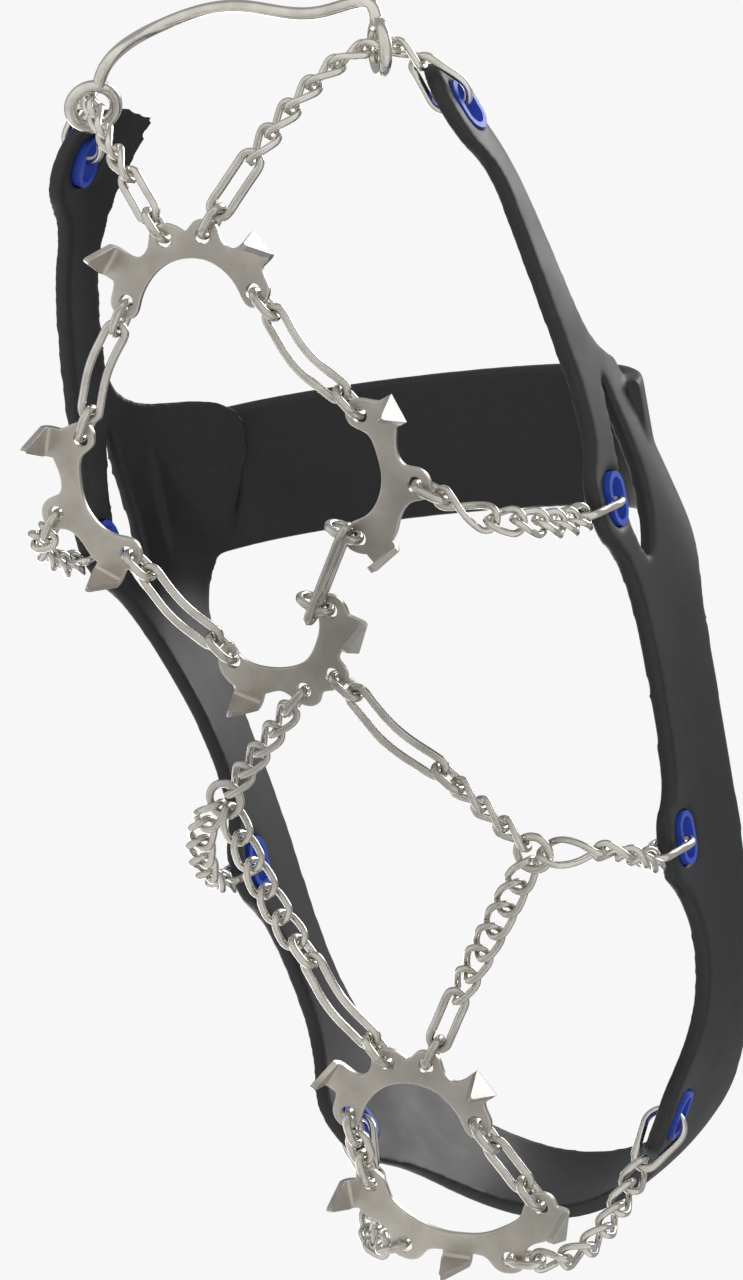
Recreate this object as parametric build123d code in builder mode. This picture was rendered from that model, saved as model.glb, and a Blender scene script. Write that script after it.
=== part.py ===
"""Ice cleats for one left shoe, in the shape they take when worn.

Row frame: millimetres, +Z up, +Y towards the toe, +X towards the inner side of the foot.
The sole of the shoe rests on the plane Z = 0, so chains and spikes are below that plane
and the rubber harness stands above it.
"""

import math
import os

from build123d import *

os.makedirs("parts", exist_ok=True)

# driving dimensions
WIRE_D = 2.0  # rings, long links and end links
CURB_D = 1.7  # curb chain
BAIL_D = 3.0  # stiff toe wire
PLATE_T = 1.5  # stamped sheet of the spike plates
HOLE_D = 3.8
SPIKE_H = 9.5
SPIKE_W = 7.2
SPIKE_ROOT = 3.0  # flat sheet between a plate's edge and the fold
BEND_R = 1.0  # inside radius of the fold
CHAIN_Z = -4.0  # middle of the sheet and of the chains under the sole
HOOK = 2.35  # wire centre to wire centre where two links hold each other
RING_L = 7.8  # lengths and widths of rings and links are on the wire centre
RING_W = 5.8
LINK_W = 4.8
CURB_W = 5.7
CURB_STEP = 6.85
END_W = 9.6  # end links straddle the rim of a lug
RUBBER_T = 4.0
LUG_Z = 35.0
EYELET_L = 13.0
EYELET_H = 9.0
EYELET_WALL = 1.4
EYELET_LIP = 0.6

WIRE_R = WIRE_D / 2
UP = Vector(0, 0, 1)


# wire paths


def loop_points(length, start_w, end_w, twist, bow):
    """Points of a flat link, narrow or wide at either end, twisted and bowed if asked."""
    small = start_w / 2
    large = end_w / 2
    reach = length - small - large
    lean = math.degrees(math.asin((large - small) / reach))
    points = []
    for centre, radius, first, last in (
        (length / 2 - large, large, -90 - lean, 90 + lean),
        (small - length / 2, small, 90 + lean, 270 - lean),
    ):
        for k in range(9):
            angle = math.radians(first + (last - first) * k / 8)
            points.append((centre + radius * math.cos(angle), radius * math.sin(angle)))
        start = points[-1]
        runs = max(2, round(reach / 3.0))
        other = (small - length / 2, small, 90 + lean)
        if centre < 0:
            other = (length / 2 - large, large, 270 - lean)
        angle = math.radians(other[2])
        stop = (other[0] + other[1] * math.cos(angle), other[1] * math.sin(angle))
        for k in range(1, runs):
            share = k / runs
            points.append((
                start[0] + (stop[0] - start[0]) * share,
                start[1] + (stop[1] - start[1]) * share,
            ))
    turned = []
    for along, across in points:
        angle = math.radians(twist * along / length)
        shift = bow * (1 - (2 * along / length) ** 2) ** 2
        turned.append((along, across * math.cos(angle) + shift, across * math.sin(angle)))
    return turned


def wire_loop(length, start_w=LINK_W, end_w=None, twist=0.0, bow=0.0, diameter=WIRE_D):
    """A closed link of round wire, lying along X in the XY plane."""
    points = loop_points(length, start_w, end_w or start_w, twist, bow)
    path = Spline(*[Vector(*p) for p in points], periodic=True).edges()[0]
    halves = []
    for half in (path.trim(0, 0.5), path.trim(0.5, 1)):
        section = Plane(origin=half @ 0, z_dir=half % 0) * Circle(diameter / 2)
        halves.append(sweep(section, path=half))
    return halves[0] + halves[1]


def spot_between(start, end, normal, roll=0.0):
    """Place for a link: X runs from start to end and Z is as near to normal as it can be."""
    run = (end - start).normalized()
    side = normal.cross(run).normalized()
    turn = math.radians(roll)
    axis = run.cross(side) * math.cos(turn) - side * math.sin(turn)
    return Plane(origin=(start + end) / 2, x_dir=run, z_dir=axis)


def walk(way, count):
    """Joints spaced evenly along a way, from its first point to its last."""
    trail = Bezier(*way) if len(way) > 2 else Line(*way)
    return [trail @ (k / count) for k in range(count + 1)]


# spike plates: outlines and holes in each plate's own frame, the sheet's middle at Z = 0

CROWN_HALF = [
    (0.0, 8.4), (2.6, 10.0), (5.2, 10.6), (8.4, 9.0), (9.4, 5.6), (11.8, 3.4),
    (14.6, 4.2), (16.4, 5.0), (19.4, 0.8), (19.2, -2.2), (20.4, -6.4), (18.4, -10.0),
    (14.8, -10.2), (12.6, -6.4), (10.2, -2.6), (5.6, 0.9), (0.0, 2.0),
]
WING = [
    (-6.4, 15.4), (-5.0, 18.4), (-1.8, 18.8), (1.2, 18.0), (3.6, 17.4), (5.6, 12.0),
    (4.8, 8.0), (5.8, 2.6), (9.2, 1.4), (11.4, -1.6), (10.2, -5.4), (6.2, -6.2),
    (2.4, -9.6), (0.6, -13.2), (-1.8, -15.6), (-5.6, -17.2), (-9.4, -17.0),
    (-12.4, -14.6), (-11.6, -10.6), (-6.8, -8.6), (-2.8, -5.4), (-0.4, 0.4),
    (-0.6, 6.4), (-2.0, 10.6), (-4.8, 12.4),
]
KEEL = [
    (15.4, 4.6), (12.6, 0.4), (8.0, -1.4), (2.0, -1.8), (-2.6, -0.4), (-6.0, 3.6),
    (-7.8, 8.6), (-8.0, 12.6), (-10.4, 14.8), (-13.6, 13.8), (-15.4, 10.6), (-15.4, 7.0),
    (-13.2, 2.0), (-11.0, -0.6), (-12.2, -3.2), (-11.6, -6.6), (-8.0, -8.2),
    (-5.2, -8.6), (-3.8, -10.8), (-0.6, -11.4), (2.2, -9.6), (5.4, -7.4), (9.6, -7.8),
    (13.4, -7.4), (17.2, -5.2), (19.8, -1.4), (19.6, 2.6), (17.6, 4.8),
]
CRESCENT_HALF = [
    (0.0, -4.4), (6.6, -3.6), (12.6, -0.8), (16.6, 2.6), (18.4, 7.0), (21.6, 9.2),
    (25.0, 8.0), (26.0, 5.0), (25.6, -0.8), (23.4, -3.0), (19.6, -4.6), (17.4, -7.2),
    (16.8, -11.2), (13.6, -12.9), (9.8, -12.2), (7.4, -9.8), (4.6, -9.2), (0.0, -9.2),
]


def both_sides(half):
    """A symmetric outline from its right half, both ends on the middle line."""
    left = [(-x, y) for x, y in reversed(half[1:-1])]
    return half + left


# each spike: middle of its fold in the plate's frame, and the way it faces, in degrees
CROWN_SPIKES = [(18.6, 2.6, 36.0), (-18.6, 2.6, 144.0)]
WING_SPIKES = [(5.2, 15.0, 20.0), (-3.4, -17.0, -57.0)]
KEEL_SPIKES = [(13.8, -7.6, -65.0), (-16.4, 4.8, 208.0)]
CRESCENT_SPIKES = [(26.4, 2.2, -8.0), (-26.4, 2.2, 188.0), (0.0, -9.6, -90.0)]
CROWN_HOLES = [(5.0, 6.8), (-5.0, 6.8), (16.4, -6.8), (-16.4, -6.8)]
WING_HOLES = [(-2.9, 15.0), (7.6, -2.2), (-8.9, -13.4)]
KEEL_HOLES = [(16.0, 1.0), (-11.2, 11.0), (-8.6, -4.6), (-0.6, -7.6)]
CRESCENT_HOLES = [(21.8, 5.4), (-21.8, 5.4), (13.4, -9.2), (-13.4, -9.2)]


def spike_plate(outline, holes, spikes, mirrored=False):
    """A stamped plate with its corner tabs folded down into pointed spikes."""
    with BuildPart() as plate:
        with BuildSketch(Plane.XY.offset(-PLATE_T / 2)):
            with BuildLine():
                Spline(*outline, periodic=True)
            make_face()
            for x, y in holes:
                with Locations((x, y)):
                    Circle(HOLE_D / 2, mode=Mode.SUBTRACT)
        extrude(amount=PLATE_T)
        rims = plate.edges().filter_by(GeomType.BSPLINE)
        fillet(rims, radius=0.35)
        for x, y, facing in spikes:
            spin = math.radians(facing)
            out = Vector(math.cos(spin), math.sin(spin), 0)
            fold = Vector(x, y, 0)
            along = Plane(origin=fold, x_dir=out, z_dir=out.cross(UP))
            centre_y = -PLATE_T / 2 - BEND_R
            with BuildSketch(along.offset(-SPIKE_W / 2)):
                with Locations((0, centre_y)):
                    Circle(BEND_R + PLATE_T)
                    Circle(BEND_R, mode=Mode.SUBTRACT)
                    Rectangle(8, 8, align=(Align.MAX, Align.CENTER), mode=Mode.SUBTRACT)
                    Rectangle(8, 8, align=(Align.CENTER, Align.MAX), mode=Mode.SUBTRACT)
                Rectangle(SPIKE_ROOT, PLATE_T, align=(Align.MAX, Align.CENTER))
            extrude(amount=SPIKE_W)
            root = fold + out * BEND_R + UP * centre_y
            blade = Plane(origin=root, x_dir=UP.cross(out), z_dir=out)
            with BuildSketch(blade):
                with BuildLine():
                    Polyline(
                        (-SPIKE_W / 2, 0),
                        (SPIKE_W / 2, 0),
                        (0.6, -SPIKE_H + 0.7),
                        (0, -SPIKE_H),
                        (-0.6, -SPIKE_H + 0.7),
                        close=True,
                    )
                make_face()
            extrude(amount=PLATE_T)
    return mirror(plate.part, about=Plane.YZ) if mirrored else plate.part


# places of the plates under the sole; the front one follows the toe spring


def turned(x, y, z, spin, tilt=0.0):
    return Plane(origin=(x, y, z)).rotated((tilt, 0, spin))


FRONT = turned(12.5, 97.5, -1.5, 1.5, 9.0)
INNER = turned(50.0, 46.0, CHAIN_Z, 0.0)
OUTER = turned(-27.7, 44.7, CHAIN_Z, 0.0)
MIDDLE = turned(3.0, 4.0, CHAIN_Z, 0.0)
HEEL = turned(-4.6, -103.6, CHAIN_Z, 6.0)
REAR = turned(-10.5, -135.5, CHAIN_Z, 9.0)


def holes_of(place, holes, side=1):
    return [place.from_local_coords(Vector(side * x, y, 0)) for x, y in holes]


front_holes = holes_of(FRONT, CROWN_HOLES)
inner_holes = holes_of(INNER, WING_HOLES)
outer_holes = holes_of(OUTER, WING_HOLES, -1)
middle_holes = holes_of(MIDDLE, KEEL_HOLES)
heel_holes = holes_of(HEEL, CROWN_HOLES)
rear_holes = holes_of(REAR, CRESCENT_HOLES)

plates = [
    ("spike_plate_front", FRONT, spike_plate(both_sides(CROWN_HALF), CROWN_HOLES, CROWN_SPIKES)),
    ("spike_plate_inner", INNER, spike_plate(WING, WING_HOLES, WING_SPIKES)),
    ("spike_plate_outer", OUTER, spike_plate(WING, WING_HOLES, WING_SPIKES, mirrored=True)),
    ("spike_plate_middle", MIDDLE, spike_plate(KEEL, KEEL_HOLES, KEEL_SPIKES)),
    ("spike_plate_heel", HEEL, spike_plate(both_sides(CROWN_HALF), CROWN_HOLES, CROWN_SPIKES)),
    ("spike_plate_rear", REAR, spike_plate(both_sides(CRESCENT_HALF), CRESCENT_HOLES, CRESCENT_SPIKES)),
]
for label, place, shape in plates:
    with BuildPart() as plate:
        add(shape.moved(place.location))
    plate.part.label = label
    export_step(plate.part, f"parts/{label}.step")


# shoe wall that the rubber lies on: outlines at four heights, inner face of the rubber

WALL = {
    15.0: [
        (0, 151), (-28, 141), (-44, 120), (-56, 75), (-63, 26), (-65.5, -20), (-65.5, -57),
        (-62, -95), (-52, -125), (-34, -145.5), (-12, -153), (12, -145.5), (30, -125),
        (40, -95), (44, -57), (49.5, -20), (67, 26), (66, 75), (52, 120), (32, 141),
    ],
    35.0: [
        (0, 152), (-28, 142), (-44, 120), (-56, 75), (-63, 26), (-66, -20), (-65.5, -57),
        (-62, -95), (-52, -125), (-34, -146), (-12, -154), (12, -146), (30, -125),
        (40, -95), (44, -57), (50, -20), (67, 26), (66, 75), (52, 120), (32, 142),
    ],
    60.0: [
        (0, 108), (-24, 103), (-44, 88), (-57, 58), (-66, 22), (-70, -20), (-70, -57),
        (-66, -95), (-55, -125), (-35, -148), (-12, -156), (12, -148), (31, -125),
        (42, -95), (47, -57), (54, -20), (63, 22), (58, 58), (46, 88), (26, 103),
    ],
    85.0: [
        (-2, 60), (-18, 57), (-32, 48), (-48, 28), (-60, -2), (-67, -30), (-68, -57),
        (-63, -95), (-53, -125), (-34, -146), (-12, -153), (11, -146), (29, -125),
        (39, -95), (44, -57), (48, -30), (46, -2), (38, 28), (26, 48), (14, 57),
    ],
}
# lugs: place along the shoe, wall half and the way each faces from the shoe, degrees
LUGS = {
    "outer_toe": (-44.0, 120.0, 158.0),
    "outer_ball": (-63.0, 26.0, 178.0),
    "outer_arch": (-65.5, -57.0, 180.0),
    "outer_heel": (-52.0, -125.0, 208.0),
    "inner_toe": (52.0, 120.0, 26.0),
    "inner_ball": (67.0, 26.0, -8.0),
    "inner_arch": (44.0, -57.0, -3.0),
    "inner_heel": (30.0, -125.0, -28.5),
}


def facing(angle):
    return Vector(math.cos(math.radians(angle)), math.sin(math.radians(angle)), 0)


eyelets = {}
for name, (x, y, angle) in LUGS.items():
    eyelets[name] = Vector(x, y, LUG_Z) + facing(angle) * RUBBER_T / 2


# wire parts are collected by node, then written out

wires = {}


def lay(node, spot, shape):
    wires.setdefault(node, []).append(shape.moved(spot.location))


plain_ring = wire_loop(RING_L, RING_W)


def ring_at(node, hole, plate, towards, lift=0.0):
    """A ring through a plate's hole, its far end lifted by an angle if asked.

    Gives the joint with the next link and the axis of the ring's loop.
    """
    away = towards - hole
    away = (away - plate.z_dir * away.dot(plate.z_dir)).normalized()
    axis = away.cross(plate.z_dir)
    away = away * math.cos(math.radians(lift)) + UP * math.sin(math.radians(lift))
    centre = hole + away * RING_L / 2
    lay(node, Plane(origin=centre, x_dir=away, z_dir=axis), plain_ring)
    return hole + away * (RING_L - HOOK / 2), axis


def long_link(node, start, end, normal=UP, roll=0.0, **shape):
    run = (end - start).length
    lay(node, spot_between(start, end, normal, roll), wire_loop(run + HOOK, **shape))


def square_to(vector, run):
    along = run.normalized()
    return (vector - along * vector.dot(along)).normalized()


def curb_run(node, way, count, before, after):
    """Curb links from joint to joint.

    before and after are the axes of the loops they hold. Each link gives a quarter turn and
    meets the next at a right angle; what is left over is shared out between the joints.
    """
    joints = walk(way, count)
    flats = [before]
    for k in range(count):
        flats.append(square_to(flats[-1], joints[k + 1] - joints[k]))
    last = (joints[-1] - joints[-2]).normalized()
    goal = square_to(after, last)
    level = flats[-1]
    total = math.degrees(math.atan2(level.cross(goal).dot(last), level.dot(goal)))
    drift = (total - 90) % 180
    drift = (drift - 180 if drift > 90 else drift) / (count + 1)
    angle = 90 + drift
    for k in range(count):
        spot = spot_between(joints[k], joints[k + 1], flats[k + 1], angle + 45)
        length = (joints[k + 1] - joints[k]).length + HOOK
        lay(node, spot, wire_loop(length, CURB_W, twist=90, diameter=CURB_D))
        angle += 180 + drift
    return joints


def end_link(node, start, lug):
    """Link from the last joint of a chain through a lug's eyelet."""
    run = eyelets[lug] - start
    length = run.length + HOOK / 2
    middle = start + run.normalized() * (length / 2 - HOOK / 2)
    spot = Plane(origin=middle, x_dir=run, z_dir=run.cross(facing(LUGS[lug][2])).normalized())
    lay(node, spot, wire_loop(length, CURB_W, END_W))


# how each chain hangs from its lug: along the shoe, inwards and down
HANG_L = 14.5
HANG = {
    "toe": (0.93, 0.055, 0.36),
    "ball": (0.0, 0.03, 1.0),
    "arch": (0.0, 0.03, 1.0),
    "heel": (-0.76, 0.08, 0.64),
}


def landing(lug):
    """Last joint of a chain, at the end of its lug's end link."""
    out = facing(LUGS[lug][2])
    forward = Vector(abs(out.Y), abs(out.X), 0)
    forward.X = -out.Y * (1 if out.X > 0 else -1)
    along, inwards, down = HANG[lug.split("_")[1]]
    return eyelets[lug] + (forward * along - out * inwards - UP * down).normalized() * HANG_L


def rise(node, start, leave, arrive, count, before, lug):
    """Curb links up the side of the shoe and the end link that holds them to a lug.

    The chain leaves its start along one vector and runs into the end link from arrive below.
    """
    last = landing(lug)
    lead = eyelets[lug] - last
    axis = lead.cross(facing(LUGS[lug][2])).normalized()
    way = [start, start + Vector(*leave), last - lead.normalized() * arrive, last]
    joints = curb_run(node, way, count, before, axis)
    end_link("end_link_" + lug, joints[-1], lug)
    return joints


def towards(start, goal, length):
    return start + (goal - start).normalized() * length


# toe, inner and outer side
start, _ = ring_at("rings_front_plate", front_holes[0], FRONT, Vector(26.2, 121, 4.5))
joint = towards(start, Vector(27.0, 120.5, 5.0), 11.5)
long_link("toe_link_inner", start, joint)
leave = (12, 17, 8)
inner_toe_joints = rise("toe_chain_inner", joint, leave, 11, 6, UP, "inner_toe")

start, _ = ring_at("rings_front_plate", front_holes[1], FRONT, Vector(-6.0, 119.5, 5.0))
joint = towards(start, Vector(-6.0, 119.5, 5.0), 14.5)
long_link("toe_link_outer", start, joint)
leave = (-13, 15, 8)
outer_toe_joints = rise("toe_chain_outer", joint, leave, 16, 7, UP, "outer_toe")


def ringed_link(node, start_ring, start_hole, start_plate, end_ring, end_hole, end_plate, bow=0.0):
    """A ring in each of two plates and the link between them."""
    start, _ = ring_at(start_ring, start_hole, start_plate, end_hole)
    end, _ = ring_at(end_ring, end_hole, end_plate, start_hole)
    long_link(node, start, end, bow=bow)


ringed_link(
    "link_front_to_inner", "rings_front_plate", front_holes[2], FRONT,
    "rings_inner_plate", inner_holes[0], INNER, 1.3,
)
ringed_link(
    "link_front_to_outer", "rings_front_plate", front_holes[3], FRONT,
    "rings_outer_plate", outer_holes[0], OUTER, 2.0,
)
ringed_link(
    "link_inner_to_middle", "rings_inner_plate", inner_holes[2], INNER,
    "rings_middle_plate", middle_holes[0], MIDDLE, 1.4,
)
ringed_link(
    "link_heel_inner", "rings_heel_plate", heel_holes[2], HEEL,
    "rings_rear_plate", rear_holes[0], REAR,
)
ringed_link(
    "link_heel_outer", "rings_heel_plate", heel_holes[3], HEEL,
    "rings_rear_plate", rear_holes[1], REAR,
)

# the link from the outer plate to the middle plate stands on edge below both of them
STANDING_L = 25.6
DEEP_RING_W = 6.4
run = (middle_holes[1] - outer_holes[2]).normalized()
inner_side = UP.cross(run)
low = PLATE_T / 2 + WIRE_R + 0.35
middle = (middle_holes[1] + outer_holes[2]) / 2 + inner_side * 2.4 - UP * (low + LINK_W / 2)
lay(
    "link_outer_to_middle",
    Plane(origin=middle, x_dir=run, z_dir=run.cross(UP)),
    wire_loop(STANDING_L),
)
for node, hole in (
    ("rings_outer_plate", outer_holes[2]),
    ("rings_middle_plate", middle_holes[1]),
):
    top = PLATE_T / 2 + WIRE_R + 0.3
    middle = hole + inner_side * (RING_L / 2 - 0.3) + UP * (top - DEEP_RING_W / 2)
    lay(
        node,
        Plane(origin=middle, x_dir=inner_side, z_dir=inner_side.cross(UP)),
        wire_loop(RING_L, DEEP_RING_W),
    )

# ball, inner and outer side
joint, axis = ring_at("rings_inner_plate", inner_holes[1], INNER, Vector(66, 33, CHAIN_Z), 10)
rise("ball_chain_inner", joint, (9, 1, 2), 12, 5, axis, "inner_ball")

start, axis = ring_at("rings_outer_plate", outer_holes[1], OUTER, Vector(-52.7, 32.0, CHAIN_Z))
joint = towards(start, Vector(-52.7, 32.0, CHAIN_Z), 13.0)
long_link("twisted_link_ball", start, joint, roll=90, start_w=CURB_W, twist=180, diameter=CURB_D)
rise("ball_chain_outer", joint, (-10, -1, 1), 12, 5, UP, "outer_ball")

# arch, outer side
JUNCTION_R = 4.0
JUNCTION_DRIFT = 10.0  # turn shared between the links beside the twisted one
outer_junction = Vector(-47.3, -46.4, CHAIN_Z)
inner_junction = Vector(28.7, -28.9, CHAIN_Z)
junction_ring = Solid.make_torus(JUNCTION_R, WIRE_R)
lay("junction_ring_outer", Plane(origin=outer_junction), junction_ring)
lay("junction_ring_inner", Plane(origin=inner_junction), junction_ring)


def at_junction(junction, goal):
    """Joint where a link holds a junction ring."""
    return towards(junction, goal, JUNCTION_R - HOOK / 2)


start, _ = ring_at("rings_middle_plate", middle_holes[2], MIDDLE, outer_junction)
finish = at_junction(outer_junction, middle_holes[2])
curb_end = towards(finish, start, CURB_STEP * 3)
ring_end = towards(finish, start, CURB_STEP * 3 + RING_L - HOOK)
long_link("link_arch_outer", start, ring_end, bow=1.8)
back = (start - finish).normalized()
axis = back.cross(UP)
lay("loose_rings", Plane(origin=(curb_end + ring_end) / 2, x_dir=back, z_dir=axis), plain_ring)
curb_run("arch_chain_outer", [curb_end, finish], 3, axis, UP)

start = at_junction(outer_junction, Vector(-64, -47.6, CHAIN_Z))
joint = towards(start, Vector(-64, -47.6, -1.0), 13.0)
long_link("twisted_link_arch", start, joint, roll=JUNCTION_DRIFT, start_w=CURB_W, twist=180, diameter=CURB_D)
axis = Vector(0, 1, 0).rotate(Axis.X, -JUNCTION_DRIFT)
rise("side_chain_outer", joint, (-8, -1, 3.4), 10, 4, axis, "outer_arch")

start = at_junction(outer_junction, Vector(-35, -64, CHAIN_Z))
ring_end, _ = ring_at("rings_heel_plate", heel_holes[1], HEEL, Vector(-21, -82, CHAIN_Z))
joint = Vector(-21.6, -80.4, CHAIN_Z)
joint = curb_run("heel_chain_outer", [start, joint], 6, UP, UP)[-1]
long_link("link_arch_to_heel_outer", joint, ring_end)

# arch, inner side
start, axis = ring_at("rings_middle_plate", middle_holes[3], MIDDLE, inner_junction)
finish = at_junction(inner_junction, middle_holes[3])
curb_run("arch_chain_inner", [start, finish], 4, axis, UP)

start = at_junction(inner_junction, Vector(44, -38, CHAIN_Z))
rise("side_chain_inner", start, (11, -6, 1), 13, 6, UP, "inner_arch")

start = at_junction(inner_junction, Vector(25, -44, CHAIN_Z))
way = [start, (26.5, -42, CHAIN_Z), (22, -56, CHAIN_Z), (17.3, -65.2, CHAIN_Z)]
joint = curb_run("heel_chain_inner", way, 5, UP, Vector(1, 0.4, 0))[-1]
ring_end, _ = ring_at("rings_heel_plate", heel_holes[0], HEEL, joint)
along = (ring_end - joint).normalized()
middle = joint + along * (RING_L - HOOK) / 2
lay("loose_rings", Plane(origin=middle, x_dir=along, z_dir=along.cross(UP)), plain_ring)
joint = joint + along * (RING_L - HOOK)
long_link("link_arch_to_heel_inner", joint, ring_end, bow=1.6)

# heel, inner and outer side
joint, axis = ring_at("rings_rear_plate", rear_holes[2], REAR, Vector(12, -144, CHAIN_Z), 10)
rise("rear_chain_inner", joint, (10, -1, 6), 14, 5, axis, "inner_heel")

joint, axis = ring_at("rings_rear_plate", rear_holes[3], REAR, Vector(-30, -148, CHAIN_Z), 8)
rise("rear_chain_outer", joint, (-14, -3, 3), 14, 6, axis, "outer_heel")

for label, shapes in wires.items():
    with BuildPart() as wire_part:
        for shape in shapes:
            add(shape)
    wire_part.part.label = label
    export_step(wire_part.part, f"parts/{label}.step")


# stiff toe wire, with an eye round the chain at each end

BAIL_EYE_R = 5.4
BAIL_FRONT = Vector(2, 151.5, 30)
BAIL_LEAD = 4.0


def eye_place(joints, k):
    """Middle of a curb link and the way the chain runs there."""
    return (joints[k] + joints[k + 1]) / 2, (joints[k + 1] - joints[k]).normalized()


outer_eye, outer_run = eye_place(outer_toe_joints, 5)
inner_eye, inner_run = eye_place(inner_toe_joints, 3)
with BuildPart() as toe_bail:
    ends = []
    for eye, along in ((outer_eye, outer_run), (inner_eye, inner_run)):
        add(Solid.make_torus(BAIL_EYE_R, BAIL_D / 2).moved(Plane(origin=eye, z_dir=along).location))
        lead = square_to(Vector(0, 0.9, 0.45), along)
        ends.append((eye + lead * BAIL_EYE_R, lead))
    with BuildLine():
        arm = Spline(
            ends[0][0], ends[0][0] + ends[0][1] * BAIL_LEAD, BAIL_FRONT + Vector(-20, -4, 0),
            BAIL_FRONT, BAIL_FRONT + Vector(21, -1.5, 0), ends[1][0] + ends[1][1] * BAIL_LEAD,
            ends[1][0],
        )
    with BuildSketch(Plane(origin=arm @ 0, z_dir=arm % 0)):
        Circle(BAIL_D / 2)
    sweep()
toe_bail.part.label = "toe_bail"
export_step(toe_bail.part, "parts/toe_bail.step")


# rubber harness


def grown(outline, amount):
    """An outline of points moved outwards."""
    moved = []
    for k, (x, y) in enumerate(outline):
        before = outline[k - 1]
        after = outline[(k + 1) % len(outline)]
        run = Vector(after[0] - before[0], after[1] - before[1], 0).normalized()
        moved.append((x + run.Y * amount, y - run.X * amount))
    return moved


def wall_solid(amount):
    """The shoe wall as a solid, grown by an amount."""
    with BuildPart() as wall:
        for height, outline in WALL.items():
            with BuildSketch(Plane.XY.offset(height)):
                with BuildLine():
                    Spline(*grown(outline, amount), periodic=True)
                make_face()
        loft()
    return wall.part


# side view of the harness as (along the shoe, height)
LOWER_EDGE = [
    (131, 40), (131, 33), (127, 27.5), (120, 25.5), (113, 27.5), (107, 32), (98, 33), (70, 33.5),
    (45, 33.5), (37, 30.5), (33, 27), (26, 25.5), (19, 27), (14, 31), (4, 34.5), (-15, 35),
    (-36, 34), (-46, 31), (-50, 27), (-57, 25.5), (-64, 27), (-69, 31.5), (-78, 37),
    (-90, 40), (-104, 38.5), (-113, 32), (-118, 27), (-125, 25.5), (-132, 27), (-137, 33),
    (-143, 41), (-152, 46), (-175, 47),
]
UPPER_EDGE = [
    (-175, 82), (-155, 82), (-145, 79), (-130, 71), (-112, 65), (-85, 62), (-50, 60.5),
    (-20, 61), (-2, 64), (8, 69), (53, 69), (56, 58), (62, 49.5), (75, 46), (100, 45),
    (116, 46.5), (127, 45.5),
]
SLOT = [(54, 47.0), (38, 49.0), (16, 47.5), (10, 43.5), (16, 40.2), (38, 42.5)]
VAMP_Y = 31.0
VAMP_W = 36.0
VAMP_ARC = [
    (-65.9, 58), (-64.0, 66), (-54, 80), (-30, 90.5), (-2, 93.5), (26, 90.5), (50, 80),
    (61.5, 66), (64.3, 58),
]


def eyelet_place(name):
    out = facing(LUGS[name][2])
    return Plane(origin=eyelets[name], x_dir=UP.cross(out), z_dir=out)


with BuildPart() as harness:
    add(wall_solid(RUBBER_T))
    add(wall_solid(0.0), mode=Mode.SUBTRACT)
    with BuildSketch(Plane.YZ):
        with BuildLine():
            front = Spline(*LOWER_EDGE)
            back = Spline(*UPPER_EDGE)
            Line(front @ 1, back @ 0)
            Line(back @ 1, front @ 0)
        make_face()
        with BuildLine():
            Spline(*SLOT, periodic=True)
        make_face(mode=Mode.SUBTRACT)
    extrude(amount=120, both=True, mode=Mode.INTERSECT)
    with BuildLine(Plane.XZ.offset(-VAMP_Y)):
        arc = Spline(*VAMP_ARC)
    with BuildSketch(Plane(origin=arc @ 0, x_dir=(0, 1, 0), z_dir=arc % 0)):
        Rectangle(VAMP_W, RUBBER_T)
    sweep()
    for name in LUGS:
        with BuildSketch(eyelet_place(name)):
            SlotOverall(EYELET_L, EYELET_H)
        extrude(amount=RUBBER_T * 1.5, both=True, mode=Mode.SUBTRACT)
harness.part.label = "harness"
export_step(harness.part, "parts/harness.step")

for side in ("outer", "inner"):
    with BuildPart() as inserts:
        for name in LUGS:
            if name.startswith(side):
                with BuildSketch(eyelet_place(name)):
                    SlotOverall(EYELET_L - 0.04, EYELET_H - 0.04)
                    SlotOverall(
                        EYELET_L - 2 * EYELET_WALL, EYELET_H - 2 * EYELET_WALL, mode=Mode.SUBTRACT
                    )
                extrude(amount=RUBBER_T / 2 + EYELET_LIP, both=True)
    inserts.part.label = f"eyelet_inserts_{side}"
    export_step(inserts.part, f"parts/eyelet_inserts_{side}.step")
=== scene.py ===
"""Ice cleats seen from below on a pale studio floor, the spikes towards the camera.

Row frame, in metres: +Z up the foot, +Y towards the toe, +X towards the inner side.
"""

import math

import bpy
from mathutils import Matrix, Vector


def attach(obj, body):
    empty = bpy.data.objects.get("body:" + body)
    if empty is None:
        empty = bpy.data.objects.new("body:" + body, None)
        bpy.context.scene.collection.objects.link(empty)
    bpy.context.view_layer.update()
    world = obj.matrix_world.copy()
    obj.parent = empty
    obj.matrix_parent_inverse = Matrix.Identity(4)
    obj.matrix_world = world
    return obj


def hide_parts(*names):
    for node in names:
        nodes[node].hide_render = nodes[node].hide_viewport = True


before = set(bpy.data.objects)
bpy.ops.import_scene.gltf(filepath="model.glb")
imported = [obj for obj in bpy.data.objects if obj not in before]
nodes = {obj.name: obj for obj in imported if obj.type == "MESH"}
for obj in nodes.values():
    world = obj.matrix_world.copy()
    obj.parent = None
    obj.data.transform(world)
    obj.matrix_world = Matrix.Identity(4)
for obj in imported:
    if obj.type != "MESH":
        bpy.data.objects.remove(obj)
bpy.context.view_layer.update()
ROOT = "harness_and_chains"


# shading helpers


def linear(code):
    """A linear colour from an sRGB hex code."""
    parts = [int(code[k : k + 2], 16) / 255 for k in (0, 2, 4)]
    return [c / 12.92 if c <= 0.04045 else ((c + 0.055) / 1.055) ** 2.4 for c in parts] + [1.0]


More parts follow.
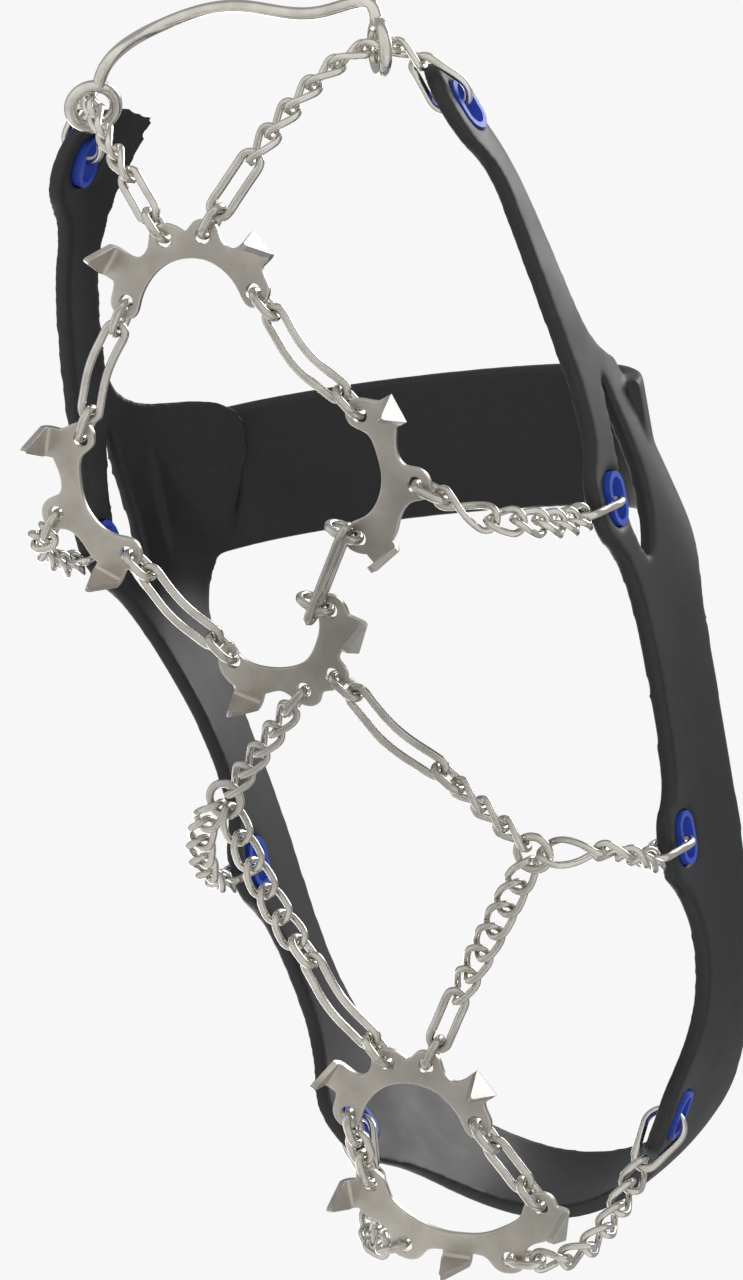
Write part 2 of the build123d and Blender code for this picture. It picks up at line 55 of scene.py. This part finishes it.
def node(tree, kind, settings=None, **inputs):
    """A shader node with settings, its inputs set or linked."""
    made = tree.nodes.new(kind)
    for key, value in (settings or {}).items():
        setattr(made, key, value)
    for key, value in inputs.items():
        numbered = key[0] == "i" and key[1:].isdigit()
        socket = made.inputs[int(key[1:]) if numbered else key.replace("_", " ")]
        if isinstance(value, bpy.types.NodeSocket):
            tree.links.new(value, socket)
        else:
            socket.default_value = value
    return made


def new_material(name):
    """An empty material: its tree, shader and a place in metres to hang patterns on."""
    material = bpy.data.materials.new(name)
    material.use_nodes = True
    tree = material.node_tree
    tree.nodes.clear()
    shader = node(tree, "ShaderNodeBsdfPrincipled")
    output = node(tree, "ShaderNodeOutputMaterial")
    tree.links.new(shader.outputs["BSDF"], output.inputs["Surface"])
    place = node(tree, "ShaderNodeTexCoord").outputs["Object"]
    return material, tree, shader, place


def noise(tree, place, size, detail=3.0, roughness=0.55):
    """Noise whose blotches are about one size in metres."""
    return node(
        tree, "ShaderNodeTexNoise", Vector=place,
        Scale=1 / size, Detail=detail, Roughness=roughness,
    ).outputs["Fac"]


def spread(tree, value, low, high, start=0.3, stop=0.7):
    """A value brought into a new range."""
    return node(
        tree, "ShaderNodeMapRange", Value=value, From_Min=start, From_Max=stop,
        To_Min=low, To_Max=high,
    ).outputs["Result"]


def mixed(tree, share, first, second):
    """Two colours mixed by a share."""
    return node(
        tree, "ShaderNodeMix", {"data_type": "RGBA"}, i0=share, i6=first, i7=second,
    ).outputs[2]


def bumped(tree, shader, height, depth, strength, radius=None):
    """Relief of a depth in metres, edges rounded by a radius if asked."""
    bump = node(tree, "ShaderNodeBump", Strength=strength, Distance=depth, Height=height)
    if radius:
        rounded = node(tree, "ShaderNodeBevel", {"samples": 6}, Radius=radius)
        tree.links.new(rounded.outputs["Normal"], bump.inputs["Normal"])
    tree.links.new(bump.outputs["Normal"], shader.inputs["Normal"])


def nickel_plated_wire():
    """Drawn wire, bright nickel plate: warm white highlights, fine draw lines, dulled patches."""
    material, tree, shader, place = new_material("nickel_plated_drawn_steel_wire")
    patches = noise(tree, place, 0.006)
    grain = noise(tree, place, 0.0006, 2.0)
    colour = mixed(tree, spread(tree, patches, 0, 1), linear("E6E3DD"), linear("CBC7BF"))
    tree.links.new(colour, shader.inputs["Base Color"])
    tree.links.new(spread(tree, patches, 0.13, 0.25), shader.inputs["Roughness"])
    shader.inputs["Metallic"].default_value = 1.0
    bumped(tree, shader, grain, 0.00001, 0.06)
    return material


def tumbled_stainless_sheet():
    """Stamped stainless sheet after tumbling: satin warm grey, rounded edges, soft mottling."""
    material, tree, shader, place = new_material("tumbled_stainless_steel_sheet")
    patches = noise(tree, place, 0.009)
    grain = noise(tree, place, 0.0005, 3.0)
    colour = mixed(tree, spread(tree, patches, 0, 1), linear("DCD8D1"), linear("C6C1B9"))
    tree.links.new(colour, shader.inputs["Base Color"])
    tree.links.new(spread(tree, patches, 0.3, 0.46), shader.inputs["Roughness"])
    shader.inputs["Metallic"].default_value = 1.0
    bumped(tree, shader, grain, 0.00003, 0.3, 0.00035)
    return material


def moulded_elastomer():
    """Injection moulded black rubber: satin sheen, a faint fine texture, greyer where stretched."""
    material, tree, shader, place = new_material("injection_moulded_black_elastomer")
    flow = noise(tree, place, 0.018, 4.0)
    skin = noise(tree, place, 0.00045, 3.0)
    dust = noise(tree, place, 0.0025, 4.0, 0.7)
    base = mixed(tree, spread(tree, flow, 0, 1), linear("17181A"), linear("1F2022"))
    colour = mixed(tree, spread(tree, dust, 0, 0.3, 0.5, 0.8), base, linear("343538"))
    tree.links.new(colour, shader.inputs["Base Color"])
    tree.links.new(spread(tree, flow, 0.42, 0.56), shader.inputs["Roughness"])
    shader.inputs["IOR"].default_value = 1.5
    bumped(tree, shader, skin, 0.00004, 0.35)
    return material


def moulded_blue_plastic():
    """Moulded blue plastic insert: even bright blue with a soft gloss."""
    material, tree, shader, place = new_material("injection_moulded_blue_plastic")
    flow = noise(tree, place, 0.004)
    colour = mixed(tree, spread(tree, flow, 0, 1), linear("2F50C4"), linear("2946B0"))
    tree.links.new(colour, shader.inputs["Base Color"])
    tree.links.new(spread(tree, flow, 0.38, 0.5), shader.inputs["Roughness"])
    shader.inputs["IOR"].default_value = 1.46
    return material


def studio_floor():
    """Seamless white paper, seen from above; from below it lets the camera look through."""
    material, tree, shader, place = new_material("seamless_white_paper")
    fibres = noise(tree, place, 0.0012)
    colour = mixed(tree, spread(tree, fibres, 0, 1), linear("F4F4F2"), linear("EFEFED"))
    tree.links.new(colour, shader.inputs["Base Color"])
    shader.inputs["Roughness"].default_value = 0.85
    output = next(n for n in tree.nodes if n.type == "OUTPUT_MATERIAL")
    clear = node(tree, "ShaderNodeBsdfTransparent")
    side = node(tree, "ShaderNodeNewGeometry")
    chosen = node(
        tree, "ShaderNodeMixShader", i0=side.outputs["Backfacing"],
        i1=shader.outputs["BSDF"], i2=clear.outputs["BSDF"],
    )
    tree.links.new(chosen.outputs["Shader"], output.inputs["Surface"])
    return material


wire = nickel_plated_wire()
sheet = tumbled_stainless_sheet()
rubber = moulded_elastomer()
plastic = moulded_blue_plastic()


# metal and plastic pieces keep their shape and get their finish

for name, piece in nodes.items():
    if name.startswith("spike_plate"):
        finish = sheet
    elif name.startswith("eyelet_inserts"):
        finish = plastic
    else:
        finish = wire
    piece.data.materials.clear()
    piece.data.materials.append(finish)


# rubber harness: one moulding with softened edges

VOXEL = 0.0006
ROUNDING_STEPS = 26
SETTLING_STEPS = 4
SMOOTH_FACTOR = 0.5
HARNESS_FACES = 180000

harness = nodes["harness"].copy()
harness.data = nodes["harness"].data.copy()
harness.name = "rubber_harness"
harness.data.name = "rubber_harness"
harness.parent = None
harness.matrix_world = Matrix.Identity(4)
bpy.context.scene.collection.objects.link(harness)
harness.data.materials.clear()
harness.data.materials.append(rubber)
bpy.ops.object.select_all(action="DESELECT")
bpy.context.view_layer.objects.active = harness
harness.select_set(True)
remesh = harness.modifiers.new("skin", "REMESH")
remesh.mode = "VOXEL"
remesh.voxel_size = VOXEL
remesh.use_smooth_shade = True
rounded = harness.modifiers.new("rounding", "SMOOTH")
rounded.factor = SMOOTH_FACTOR
rounded.iterations = ROUNDING_STEPS
thinned = harness.modifiers.new("thinned", "DECIMATE")
bpy.ops.object.modifier_apply(modifier="skin")
bpy.ops.object.modifier_apply(modifier="rounding")
thinned.ratio = min(1.0, HARNESS_FACES / sum(len(f.vertices) - 2 for f in harness.data.polygons))
bpy.ops.object.modifier_apply(modifier="thinned")
settled = harness.modifiers.new("settled", "SMOOTH")
settled.factor = SMOOTH_FACTOR
settled.iterations = SETTLING_STEPS
bpy.ops.object.modifier_apply(modifier="settled")
for face in harness.data.polygons:
    face.use_smooth = True
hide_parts("harness")
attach(harness, ROOT)


# floor, light and camera

FLOOR_Z = -0.0152
FLOOR_SIZE = 6.0
bpy.ops.mesh.primitive_plane_add(size=FLOOR_SIZE, location=(0, 0, FLOOR_Z))
floor = bpy.context.active_object
floor.name = "studio_floor"
floor.data.materials.append(studio_floor())


def soft_light(name, place, aim, size, power, tint):
    """A square area light turned towards a point."""
    lamp = bpy.data.lights.new(name, "AREA")
    lamp.shape = "SQUARE"
    lamp.size = size
    lamp.energy = power
    lamp.color = tint
    holder = bpy.data.objects.new(name, lamp)
    holder.location = place
    holder.rotation_euler = (Vector(aim) - Vector(place)).to_track_quat("-Z", "Y").to_euler()
    bpy.context.scene.collection.objects.link(holder)


WHITE = (1.0, 0.99, 0.97)
soft_light("key_from_below", (-0.55, 0.55, -0.75), (0, 0, 0), 0.55, 11.0, WHITE)
soft_light("fill_from_below", (0.6, -0.2, -0.7), (0, 0, 0), 0.9, 8.0, WHITE)
soft_light("key_from_above", (-0.5, 0.4, 1.0), (0, 0, 0), 0.7, 8.0, WHITE)
soft_light("fill_from_above", (0.8, -0.6, 0.7), (0, 0, 0), 0.9, 6.0, WHITE)

world = bpy.data.worlds.new("pale_studio")
bpy.context.scene.world = world
world.use_nodes = True
surround = world.node_tree
surround.nodes.clear()
backdrop = node(surround, "ShaderNodeBackground", Color=linear("F7F7F7"), Strength=1.0)
room = node(surround, "ShaderNodeBackground", Color=linear("B9BABC"), Strength=0.85)
seen = node(surround, "ShaderNodeLightPath")
both = node(
    surround, "ShaderNodeMixShader", i0=seen.outputs["Is Camera Ray"],
    i1=room.outputs["Background"], i2=backdrop.outputs["Background"],
)
sky = node(surround, "ShaderNodeOutputWorld")
surround.links.new(both.outputs["Shader"], sky.inputs["Surface"])
bpy.context.scene.view_settings.view_transform = "Standard"

# the camera looks up at the sole from the outer side of the heel end
LOOK_AT = Vector((-0.015, 0.006, 0.0))
TILT = math.radians(26.0)
LEAN = math.radians(13.0)
ROLL = math.radians(10.8)
DISTANCE = 1.0
LENS = 121.8
back = Vector((
    -math.sin(TILT) * math.cos(LEAN),
    math.sin(LEAN),
    -math.cos(TILT) * math.cos(LEAN),
))
forward = -back
toe = Vector((0, 1, 0))
toe = (toe - forward * toe.dot(forward)).normalized()
side = forward.cross(toe)
up = toe * math.cos(ROLL) + side * math.sin(ROLL)
right = forward.cross(up)
camera_data = bpy.data.cameras.new("camera")
camera_data.sensor_fit = "VERTICAL"
camera_data.sensor_height = 36.0
camera_data.lens = LENS
camera_data.clip_start = 0.01
camera = bpy.data.objects.new("camera", camera_data)
bpy.context.scene.collection.objects.link(camera)
camera.matrix_world = (
    Matrix.Translation(LOOK_AT + back * DISTANCE)
    @ Matrix((right, up, back)).transposed().to_4x4()
)
bpy.context.scene.camera = camera
